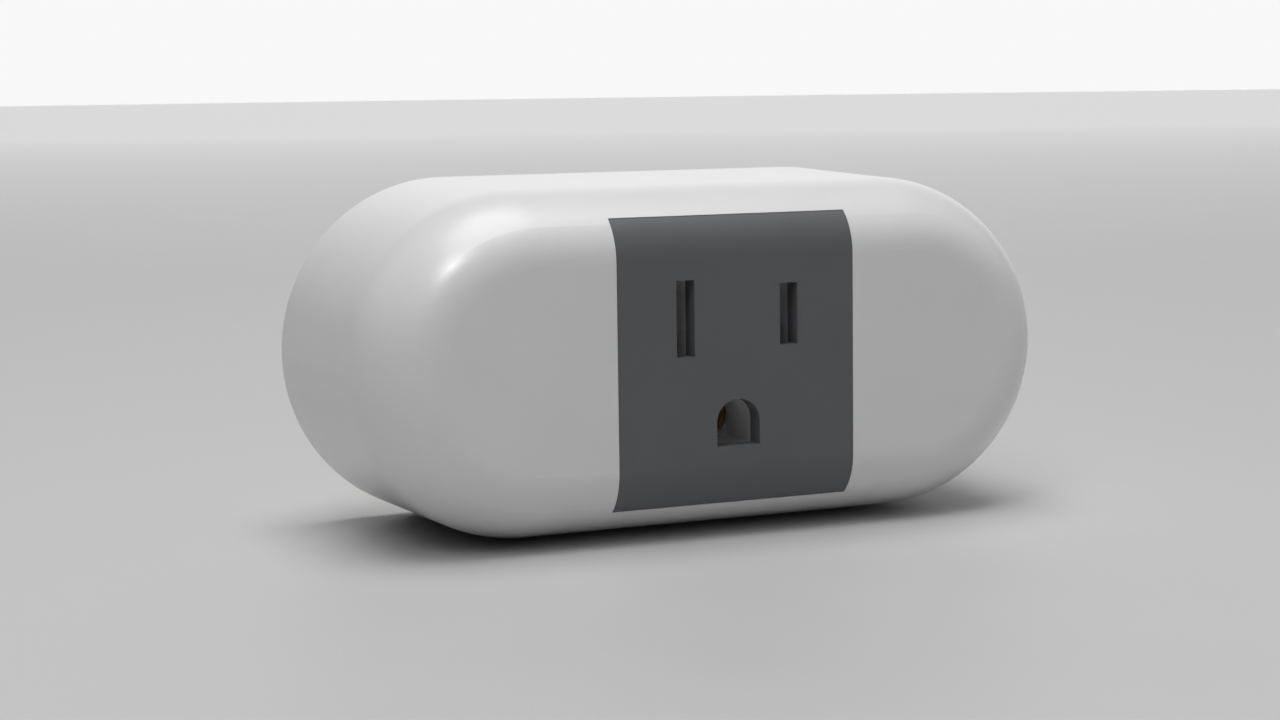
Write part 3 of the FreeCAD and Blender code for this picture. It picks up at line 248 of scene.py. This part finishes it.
def moulded_plastic(
    name, colour, roughness, grain, depth, coat=0.0, variation=0.03, shine=0.5
):
    """Moulded plastic: a fine grain, in millimetres across and deep, and a slight mottle."""
    material, tree, shader, where = new_material(name)
    mottle = noise(tree, where, FLOW_MARKS, 2.0)
    tint = two_colours(tree, mottle, shade(colour, 1 - variation), shade(colour, 1 + variation))
    tree.links.new(tint, shader.inputs["Base Color"])
    skin = noise(tree, where, grain * MM, 4.0, 0.6)
    wear = noise(tree, where, HANDLING_WEAR, 3.0)
    vary(tree, wear, shader.inputs["Roughness"], roughness * 0.92, roughness * 1.1)
    bump(tree, shader, skin, depth * MM, under=rounded_edges(tree))
    shader.inputs["IOR"].default_value = PLASTIC_IOR
    shader.inputs["Specular IOR Level"].default_value = shine
    shader.inputs["Coat Weight"].default_value = coat
    shader.inputs["Coat Roughness"].default_value = COAT_ROUGHNESS
    return material


def worked_metal(name, colour, roughness, along, tarnish=0.8):
    """Rolled or stamped metal: fine lines along one axis and a faint tarnish."""
    material, tree, shader, where = new_material(name)
    shader.inputs["Metallic"].default_value = 1.0
    scale = tuple(DRAWN_LENGTH if axis == along else 1.0 for axis in "XYZ")
    lines = stretched(tree, where, scale)
    drawn = noise(tree, lines, DRAWN_LINES, 3.0)
    cloud = noise(tree, where, TARNISH_CLOUDS, 4.0, 0.6)
    tint = two_colours(tree, cloud, shade(colour, tarnish), colour, 0.35, 0.6)
    tree.links.new(tint, shader.inputs["Base Color"])
    vary(tree, drawn, shader.inputs["Roughness"], roughness * 0.75, roughness * 1.3)
    bump(tree, shader, drawn, 0.004 * MM, under=rounded_edges(tree))
    return material


# ---- materials ----


def board_tracks(tree, where):
    """Straight tracks in bundles: each square of the board has lines one way or the other."""
    squares = tree.nodes.new("ShaderNodeTexVoronoi")
    squares.distance = "CHEBYCHEV"
    squares.inputs["Scale"].default_value = 1 / TRACK_SQUARE
    squares.inputs["Randomness"].default_value = 0.35
    tree.links.new(where, squares.inputs["Vector"])
    ways = []
    for direction in ("X", "DIAGONAL"):
        lines = tree.nodes.new("ShaderNodeTexWave")
        lines.bands_direction = direction
        lines.inputs["Scale"].default_value = WAVE_PERIOD / TRACK_PITCH
        tree.links.new(where, lines.inputs["Vector"])
        ways.append(spread(tree, lines.outputs["Fac"], 0.0, 1.0, 0.66, 0.80))
    choose = tree.nodes.new("ShaderNodeMixRGB")
    vary(tree, squares.outputs["Color"], choose.inputs["Fac"], 0.0, 1.0, 0.50, 0.51)
    tree.links.new(ways[0], choose.inputs["Color1"])
    tree.links.new(ways[1], choose.inputs["Color2"])
    return choose.outputs["Color"]


def circuit_board(name):
    """Green solder mask with the tracks showing through as slightly raised paler lines."""
    material, tree, shader, where = new_material(name)
    tracks = board_tracks(tree, where)
    tint = two_colours(tree, tracks, (0.012, 0.115, 0.045), (0.03, 0.19, 0.08), 0.0, 1.0)
    tree.links.new(tint, shader.inputs["Base Color"])
    glass = noise(tree, where, 0.25 * MM, 2.0)
    vary(tree, glass, shader.inputs["Roughness"], 0.25, 0.4)
    bump(tree, shader, tracks, 0.03 * MM, 0.6)
    return material


def wound_turns_with_painted_shade(name, colour, pitch, axis, roughness):
    """Closely wound turns of wire or tape round an axis, with painted shade darkening the grooves
    between turns.
    """
    material, tree, shader, where = new_material(name)
    turns = tree.nodes.new("ShaderNodeTexWave")
    turns.bands_direction = axis
    turns.inputs["Scale"].default_value = WAVE_PERIOD / pitch
    turns.inputs["Distortion"].default_value = 0.4
    turns.inputs["Detail"].default_value = 1.0
    tree.links.new(where, turns.inputs["Vector"])
    # painted shade: the colour drops to 0.55 of itself in the grooves between turns, where shade
    # falls
    tint = two_colours(tree, turns.outputs["Fac"], shade(colour, 0.55), colour, 0.1, 0.6)
    tree.links.new(tint, shader.inputs["Base Color"])
    gloss = noise(tree, where, 0.6 * MM)
    vary(tree, gloss, shader.inputs["Roughness"], roughness * 0.8, roughness * 1.2)
    bump(tree, shader, turns.outputs["Fac"], pitch * 0.4, 0.8)
    return material


def clear_light_pipe(name):
    material, tree, shader, where = new_material(name)
    frost = noise(tree, where, 0.09 * MM)
    tint = two_colours(tree, frost, (0.84, 0.87, 0.88), (0.92, 0.94, 0.95))
    tree.links.new(tint, shader.inputs["Base Color"])
    vary(tree, frost, shader.inputs["Roughness"], 0.18, 0.32)
    shader.inputs["Transmission Weight"].default_value = 0.35
    shader.inputs["IOR"].default_value = 1.49
    bump(tree, shader, frost, 0.0015 * MM)
    return material


def sintered_ferrite(name):
    material, tree, shader, where = new_material(name)
    specks = noise(tree, where, 0.18 * MM, 5.0, 0.7)
    tint = two_colours(tree, specks, (0.035, 0.035, 0.038), (0.10, 0.10, 0.105), 0.4, 0.75)
    tree.links.new(tint, shader.inputs["Base Color"])
    vary(tree, specks, shader.inputs["Roughness"], 0.5, 0.75)
    bump(tree, shader, specks, 0.03 * MM)
    return material


MATERIALS = {
    "shell_white": moulded_plastic(
        "white_gloss_shell", WHITE, 0.33, 0.5, 0.0018, coat=0.30, variation=0.010
    ),
    "plate_grey": moulded_plastic(
        "dark_grey_plate", DARK_GREY, 0.42, 0.22, 0.006, variation=0.02, shine=0.36
    ),
    "inner_white": moulded_plastic("white_inner_moulding", CLEAN_WHITE, 0.42, 0.3, 0.006),
    "relay_black": moulded_plastic("black_component_moulding", BLACK, 0.45, 0.15, 0.008),
    "film_yellow": moulded_plastic("yellow_film_case", YELLOW, 0.35, 0.2, 0.006),
    "varistor_blue": moulded_plastic("blue_dipped_coating", BLUE, 0.28, 1.4, 0.05),
    "resistor_green": moulded_plastic("grey_green_coating", GREY_GREEN, 0.5, 0.5, 0.03),
    "screw_steel": worked_metal("zinc_plated_steel", (0.60, 0.61, 0.62), 0.30, "Y"),
    "blade_brass": worked_metal("stamped_brass", (0.76, 0.60, 0.30), 0.26, "Y", 0.88),
    "contact_brass": worked_metal("spring_brass", (0.44, 0.32, 0.06), 0.34, "Y", 0.75),
    "tinned_copper": worked_metal("tinned_copper", (0.70, 0.68, 0.64), 0.28, "X"),
    "soft_iron": worked_metal("plated_soft_iron", (0.50, 0.50, 0.51), 0.38, "Z"),
    "winding_copper": wound_turns_with_painted_shade("enamelled_copper_turns", COPPER, 0.16 * MM, "Y", 0.3),
    "winding_tape": wound_turns_with_painted_shade("yellow_tape_turns", TAPE, 1.1 * MM, "X", 0.35),
    "board_green": circuit_board("green_circuit_board"),
    "ferrite": sintered_ferrite("sintered_ferrite"),
    "light_pipe": clear_light_pipe("clear_light_pipe"),
}
CERAMIC_TAN = moulded_plastic("tan_ceramic", TAN, 0.45, 0.1, 0.006)


def dress_nodes():
    """Gives every CAD node the material of its slot."""
    for part in frame["record"]["subparts"]:
        thing = NODES[part["node"]]
        thing.data.materials.clear()
        thing.data.materials.append(MATERIALS[part["material_slot"]])


# ---- pieces added inside the case ----


def finish_piece(name, form, material, body="housing"):
    """Turns a form in millimetres into a piece that rides on a CAD body."""
    bmesh.ops.scale(form, verts=form.verts, vec=(MM, MM, MM))
    bmesh.ops.recalc_face_normals(form, faces=form.faces)
    mesh = bpy.data.meshes.new(name)
    form.to_mesh(mesh)
    form.free()
    mesh.set_sharp_from_angle(angle=math.radians(35))
    mesh.shade_smooth()
    mesh.materials.append(material)
    piece = bpy.data.objects.new(name, mesh)
    scene.collection.objects.link(piece)
    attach(piece, body)
    return piece


def add_block(form, low, high, edge=0.05):
    """A block with small rounded edges."""
    size = Vector(high) - Vector(low)
    middle = (Vector(high) + Vector(low)) / 2
    place = Matrix.Translation(middle) @ Matrix.Diagonal((*size, 1.0))
    made = bmesh.ops.create_cube(form, size=1.0, matrix=place)
    joints = [joint for corner in made["verts"] for joint in corner.link_edges]
    edges = list(dict.fromkeys(joints))
    bmesh.ops.bevel(form, geom=edges, offset=edge, segments=2, affect="EDGES", profile=0.6)


def add_ring(form, centre, axis, profile, segments=24):
    """Turns an outline of (radius, distance along the axis) points once round an axis."""
    lean = Vector((0, 0, 1)).rotation_difference(Vector(axis)).to_matrix()
    rows = []
    for step in range(segments):
        angle = math.tau * step / segments
        spoke = Vector((math.cos(angle), math.sin(angle), 0.0))
        rows.append([
            form.verts.new(Vector(centre) + lean @ (spoke * radius + Vector((0, 0, along))))
            for radius, along in profile
        ])
    for step in range(segments):
        here, there = rows[step], rows[(step + 1) % segments]
        for index in range(len(profile) - 1):
            form.faces.new((here[index], there[index], there[index + 1], here[index + 1]))
    return rows


def add_turned(form, centre, axis, profile, segments=24):
    """A turned solid, capped at both ends of its profile."""
    rows = add_ring(form, centre, axis, profile, segments)
    form.faces.new([row[0] for row in rows])
    form.faces.new([row[-1] for row in rows])


def add_wire(form, points, radius, segments=8, closed=False):
    """A round wire through a list of points."""
    path = [Vector(point) for point in points]
    rows = []
    for index, point in enumerate(path):
        following = (index + 1) % len(path) if closed else min(index + 1, len(path) - 1)
        after = path[following]
        before = path[index - 1] if closed or index else path[0]
        way = (after - before).normalized()
        side = way.orthogonal() if not rows else last_side - way * last_side.dot(way)
        side.normalize()
        last_side = side
        up = way.cross(side)
        rows.append([
            form.verts.new(
                point
                + side * radius * math.cos(math.tau * step / segments)
                + up * radius * math.sin(math.tau * step / segments)
            )
            for step in range(segments)
        ])
    spans = len(rows) if closed else len(rows) - 1
    for index in range(spans):
        here, there = rows[index], rows[(index + 1) % len(rows)]
        for step in range(segments):
            after = (step + 1) % segments
            form.faces.new((here[step], here[after], there[after], there[step]))
    if not closed:
        form.faces.new(rows[0])
        form.faces.new(rows[-1])


def circle_points(centre, radius, axis, count=36):
    """Points round a circle."""
    lean = Vector((0, 0, 1)).rotation_difference(Vector(axis)).to_matrix()
    angles = [math.tau * step / count for step in range(count)]
    return [
        Vector(centre) + lean @ Vector((radius * math.cos(angle), radius * math.sin(angle), 0.0))
        for angle in angles
    ]


def add_solder(form, across, up):
    """A concave fillet of solder round a pin behind the board."""
    tip = SOLDER_PIN * 0.3
    profile = [(tip, -SINK)]
    profile += [
        (SOLDER_PIN + SOLDER_SPREAD * (1 - share) ** 2, SOLDER_HEIGHT * share)
        for share in (0.0, 0.15, 0.35, 0.6, 0.85, 1.0)
    ]
    profile += [(tip, SOLDER_HEIGHT + 0.12)]
    add_turned(form, (across, BOARD_BACK, up), (0, 1, 0), profile, 16)


def add_solder_joints():
    """Solder behind the board at every through-hole lead."""
    form = bmesh.new()
    for across, up in THROUGH_HOLES:
        add_solder(form, across, up)
    finish_piece("solder_joints", form, MATERIALS["tinned_copper"])


def add_chip_legs():
    """Gull-wing legs of the converter chip and the bridge rectifier."""
    form = bmesh.new()
    for across in CHIP_LEGS:
        for side in (-1, 1):
            add_gull_wing(form, across, side, 2.0, BOARD_BACK, 0.75, 0.36, 0.9, 1)
    finish_piece("converter_chip_legs", form, MATERIALS["tinned_copper"])
    form = bmesh.new()
    for across in BRIDGE_LEGS:
        add_gull_wing(form, across, 1, -7.4, BOARD_FACE, 1.2, 0.7, 0.8, -1)
        add_gull_wing(form, across, -1, 11.6, BOARD_FACE, 1.2, 0.7, 0.8, -1)
    finish_piece("bridge_rectifier_legs", form, MATERIALS["tinned_copper"])


def add_gull_wing(form, across, side, edge, board_y, height, width, reach, away):
    """One bent leg: out of the package, down, and flat on a pad. Away is the way off the board."""
    upper = height + LEG_THICKNESS / 2
    lower = height - LEG_THICKNESS / 2
    outline = [
        (edge - 0.05, upper),
        (edge + 0.27 * reach, upper),
        (edge + 0.50 * reach, LEG_THICKNESS),
        (edge + reach, LEG_THICKNESS),
        (edge + reach, 0.0),
        (edge + 0.40 * reach, 0.0),
        (edge + 0.17 * reach, lower),
        (edge - 0.05, lower),
    ]
    rows = []
    for half in (-width / 2, width / 2):
        points = [(across + half, board_y + away * rise, side * out) for out, rise in outline]
        rows.append([form.verts.new(point) for point in points])
    for row in rows:
        form.faces.new(row)
    for index in range(len(outline)):
        after = (index + 1) % len(outline)
        form.faces.new((rows[0][index], rows[0][after], rows[1][after], rows[1][index]))


def add_surface_parts():
    """Small two-terminal parts soldered flat on both sides of the main board."""
    bodies = (bmesh.new(), bmesh.new())
    ends = bmesh.new()
    for places, board_y, away in (
        (SURFACE_PARTS_BACK, BOARD_BACK, 1),
        (SURFACE_PARTS_FRONT, BOARD_FACE, -1),
    ):
        for index, place in enumerate(places):
            kind = index % 2
            height = SURFACE_PART_HEIGHTS[kind]
            add_surface_part(bodies[kind], ends, height, place, board_y, away)
    finish_piece("surface_resistors", bodies[0], MATERIALS["relay_black"])
    finish_piece("surface_capacitors", bodies[1], CERAMIC_TAN)
    finish_piece("surface_part_ends", ends, MATERIALS["tinned_copper"])


def add_surface_part(body, ends, height, place, board_y, away):
    """One part: a block between two metal end caps that stand slightly proud of it."""
    across, up = place
    half_length = SURFACE_PART_LENGTH / 2
    half_width = SURFACE_PART_WIDTH / 2
    inner_end = half_length - SURFACE_PART_CAP
    near, far = sorted((board_y, board_y + away * height))
    add_block(
        body,
        (across - inner_end, near, up - half_width),
        (across + inner_end, far, up + half_width),
        0.04,
    )
    proud = 0.03
    near, far = sorted((board_y, board_y + away * (height + proud)))
    for side in (-1, 1):
        inner, outer = sorted((across + side * inner_end, across + side * half_length))
        add_block(
            ends,
            (inner, near, up - half_width - proud),
            (outer, far, up + half_width + proud),
            0.04,
        )


def add_windings():
    """The outermost turns of the relay coil, and the ends of the transformer's wires."""
    form = bmesh.new()
    length = COIL_END - COIL_START
    turns = int(length / (2 * COIL_WIRE))
    for turn in range(turns + 1):
        centre = (COIL_CENTRE_X, COIL_START + length * turn / turns, 0.0)
        path = circle_points(centre, COIL_RADIUS, (0, 1, 0), 30)
        add_wire(form, path, COIL_WIRE, 6, closed=True)
    finish_piece("relay_coil_turns", form, MATERIALS["winding_copper"])

    form = bmesh.new()
    for pin, inward in ((TRANSFORMER_PINS[0], 0.45), (TRANSFORMER_PINS[-1], -0.45)):
        for side, row in zip((-1, 1), TRANSFORMER_ROWS):
            path = (
                (pin + inward, -14.6, side * 3.5),
                (pin + inward, -13.4, side * 4.0),
                (pin, -12.6, row),
                (pin, -12.2, row),
            )
            add_wire(form, path, 0.13)
    finish_piece("transformer_wire_ends", form, MATERIALS["winding_copper"])


def add_component_trim():
    """Vent discs and stripes on the round capacitors, and colour bands on the resistor."""
    discs = bmesh.new()
    stripes = bmesh.new()
    for across, up, radius, height in CANS:
        top = BOARD_FACE - height
        rim = radius * 0.84
        disc = [(0.05, 0.04), (rim, 0.04), (rim, -0.03), (0.05, -0.03)]
        add_turned(discs, (across, top, up), (0, -1, 0), disc, 40)
        add_stripe(stripes, (across, up), radius + SINK, top + 0.25, BOARD_FACE - 2.2)
    finish_piece("capacitor_vent_discs", discs, MATERIALS["screw_steel"])
    finish_piece("capacitor_stripes", stripes, MATERIALS["inner_white"])

    for name, place, colour in RESISTOR_BANDS:
        form = bmesh.new()
        add_ring(form, (place, *RESISTOR_AXIS), (1, 0, 0), BAND_PROFILE, 32)
        paint = moulded_plastic(name + "_paint", colour, 0.4, 0.3, 0.006)
        finish_piece(name, form, paint)


def add_stripe(form, centre, radius, top, foot):
    """A stripe that covers a sixth of the way round a can."""
    thick = 0.03
    steps = 8
    middle = Vector((centre[0], 0.0, centre[1]))
    grid = []
    for step in range(steps + 1):
        angle = math.radians(-30 + 60 * step / steps)
        spoke = Vector((math.cos(angle), 0.0, math.sin(angle)))
        grid.append([
            form.verts.new(middle + spoke * distance + Vector((0.0, along, 0.0)))
            for distance, along in (
                (radius, top), (radius + thick, top), (radius + thick, foot), (radius, foot)
            )
        ])
    for here, there in zip(grid, grid[1:]):
        for index in range(4):
            after = (index + 1) % 4
            form.faces.new((here[index], there[index], there[after], here[after]))
    form.faces.new(grid[0])
    form.faces.new(grid[-1])


def add_foil(form, left, low, right, high):
    """A thin patch of bare metal on the radio board's lower face."""
    add_block(
        form,
        (left, low, RADIO_FACE - FOIL_DEEP),
        (right, high, RADIO_FACE + FOIL_PROUD),
        FOIL_EDGE,
    )


def add_radio_parts():
    """A meander antenna, edge pads, chips and header pins of the radio board."""
    form = bmesh.new()
    for index in range(ANTENNA_ROWS):
        row = ANTENNA_START + ANTENNA_STEP * index
        add_foil(form, ANTENNA_LEFT, row, ANTENNA_RIGHT, row + ANTENNA_LINE)
        if index + 1 < ANTENNA_ROWS:
            start = ANTENNA_LEFT if index % 2 else ANTENNA_RIGHT - ANTENNA_LINE
            add_foil(form, start, row + 0.3, start + ANTENNA_LINE, row + 1.7)
    for across in HEADER_PINS:
        add_foil(form, across - 0.5, -12.4, across + 0.5, -10.9)
    finish_piece("radio_antenna_and_pads", form, MATERIALS["blade_brass"])

    form = bmesh.new()
    seat = RADIO_BACK - SINK
    add_block(form, (16.0, -20.5, seat), (20.8, -15.7, 11.1), 0.06)
    add_block(form, (22.5, -19.2, seat), (24.7, -17.6, 10.9), 0.06)
    finish_piece("radio_back_chips", form, MATERIALS["relay_black"])

    form = bmesh.new()
    half = 0.3
    for across in HEADER_PINS:
        low = (across - half, -8.9, HEADER_ROW - half)
        high = (across + half, BOARD_BACK + 0.6, HEADER_ROW + half)
        add_block(form, low, high, 0.04)
    finish_piece("radio_header_pins", form, MATERIALS["blade_brass"])


def add_details():
    """Everything on the boards that the CAD doesn't carry."""
    add_solder_joints()
    add_chip_legs()
    add_surface_parts()
    add_windings()
    add_component_trim()
    add_radio_parts()


# ---- stage, lights and camera ----


def add_camera():
    """The camera stands low in front of the plug's left end and looks slightly down."""
    data = bpy.data.cameras.new("camera")
    data.sensor_width = 36.0
    data.lens = CAMERA_LENS
    camera = bpy.data.objects.new("camera", data)
    turn = Matrix.Identity(4)
    for angle, axis in CAMERA_TURNS:
        turn = turn @ Matrix.Rotation(math.radians(angle), 4, axis)
    camera.matrix_world = Matrix.Translation(CAMERA_PLACE) @ turn
    scene.collection.objects.link(camera)
    scene.camera = camera


def add_floor(level):
    """A wide pale floor, its colour painted paler towards the backdrop: painted light."""
    mesh = bpy.data.meshes.new("floor")
    form = bmesh.new()
    bmesh.ops.create_circle(form, cap_ends=True, segments=96, radius=FLOOR_RADIUS)
    form.to_mesh(mesh)
    form.free()
    floor = bpy.data.objects.new("floor", mesh)
    floor.location.z = level
    scene.collection.objects.link(floor)
    material, tree, shader, where = new_material("pale_floor")
    cloud = noise(tree, where, FLOOR_MOTTLE, 3.0)
    near = two_colours(tree, cloud, (0.515, 0.515, 0.515), (0.53, 0.53, 0.53))
    distance = tree.nodes.new("ShaderNodeVectorMath")
    distance.operation = "DOT_PRODUCT"
    distance.inputs[1].default_value = (BACKDROP_WAY[0], BACKDROP_WAY[1], 0.0)
    tree.links.new(where, distance.inputs[0])
    # painted light: the floor colour blends to a paler far colour towards the back, in place of
    # the backdrop's light falling there
    sweep = tree.nodes.new("ShaderNodeMixRGB")
    vary(tree, distance.outputs["Value"], sweep.inputs["Fac"], 0.0, 1.0, *FLOOR_PAINTED_LIGHT_SWEEP)
    tree.links.new(near, sweep.inputs["Color1"])
    sweep.inputs["Color2"].default_value = FLOOR_FAR_PAINTED_LIGHT
    tree.links.new(sweep.outputs["Color"], shader.inputs["Base Color"])
    vary(tree, cloud, shader.inputs["Roughness"], 0.52, 0.60)
    mesh.materials.append(material)


def add_lamp(name, size, power, glint):
    """A square lamp high on the left, which gives either only a glint or only soft light."""
    data = bpy.data.lights.new(name, "AREA")
    data.shape = "SQUARE"
    data.size = size
    data.energy = power
    lamp = bpy.data.objects.new(name, data)
    lamp.location = LAMP_PLACE
    lamp.rotation_euler = (LAMP_TARGET - LAMP_PLACE).to_track_quat("-Z", "Y").to_euler()
    lamp.visible_diffuse = not glint
    lamp.visible_glossy = glint
    scene.collection.objects.link(lamp)


def along_direction(tree, vector, direction):
    """How far a vector points along a direction, from 0 for against it to 1 for along it."""
    dot = tree.nodes.new("ShaderNodeVectorMath")
    dot.operation = "DOT_PRODUCT"
    dot.inputs[1].default_value = direction
    tree.links.new(vector, dot.inputs[0])
    return spread(tree, dot.outputs["Value"], 0.0, 1.0, -1.0, 1.0)


def add_lights():
    """A wide soft light overhead, two lamps high on the left, and a room brighter behind."""
    overhead = bpy.data.lights.new("overhead", "SUN")
    overhead.energy = OVERHEAD_STRENGTH
    overhead.angle = math.radians(OVERHEAD_SPREAD)
    scene.collection.objects.link(bpy.data.objects.new("overhead", overhead))
    add_lamp("left_glint", GLINT_SIZE, GLINT_POWER, glint=True)
    add_lamp("left_key", KEY_SIZE, KEY_POWER, glint=False)
    world = bpy.data.worlds.new("studio")
    scene.world = world
    world.use_nodes = True
    tree = world.node_tree
    background = tree.nodes["Background"]
    place = tree.nodes.new("ShaderNodeTexCoord")
    side = along_direction(tree, place.outputs["Generated"], (1.0, 0.0, 0.0))
    front = two_colours(tree, side, ROOM_LEFT, ROOM_RIGHT, 0.0, 1.0)
    behind = along_direction(tree, place.outputs["Generated"], BACKDROP_WAY)
    blend = tree.nodes.new("ShaderNodeMixRGB")
    vary(tree, behind, blend.inputs["Fac"], 0.0, 1.0, *BACKDROP_EDGE)
    tree.links.new(front, blend.inputs["Color1"])
    blend.inputs["Color2"].default_value = (*ROOM_BACK, 1.0)
    tree.links.new(blend.outputs["Color"], background.inputs["Color"])


scene.view_settings.view_transform = "Standard"
dress_nodes()
add_details()
add_camera()
add_floor(cad_box[0].z)
add_lights()
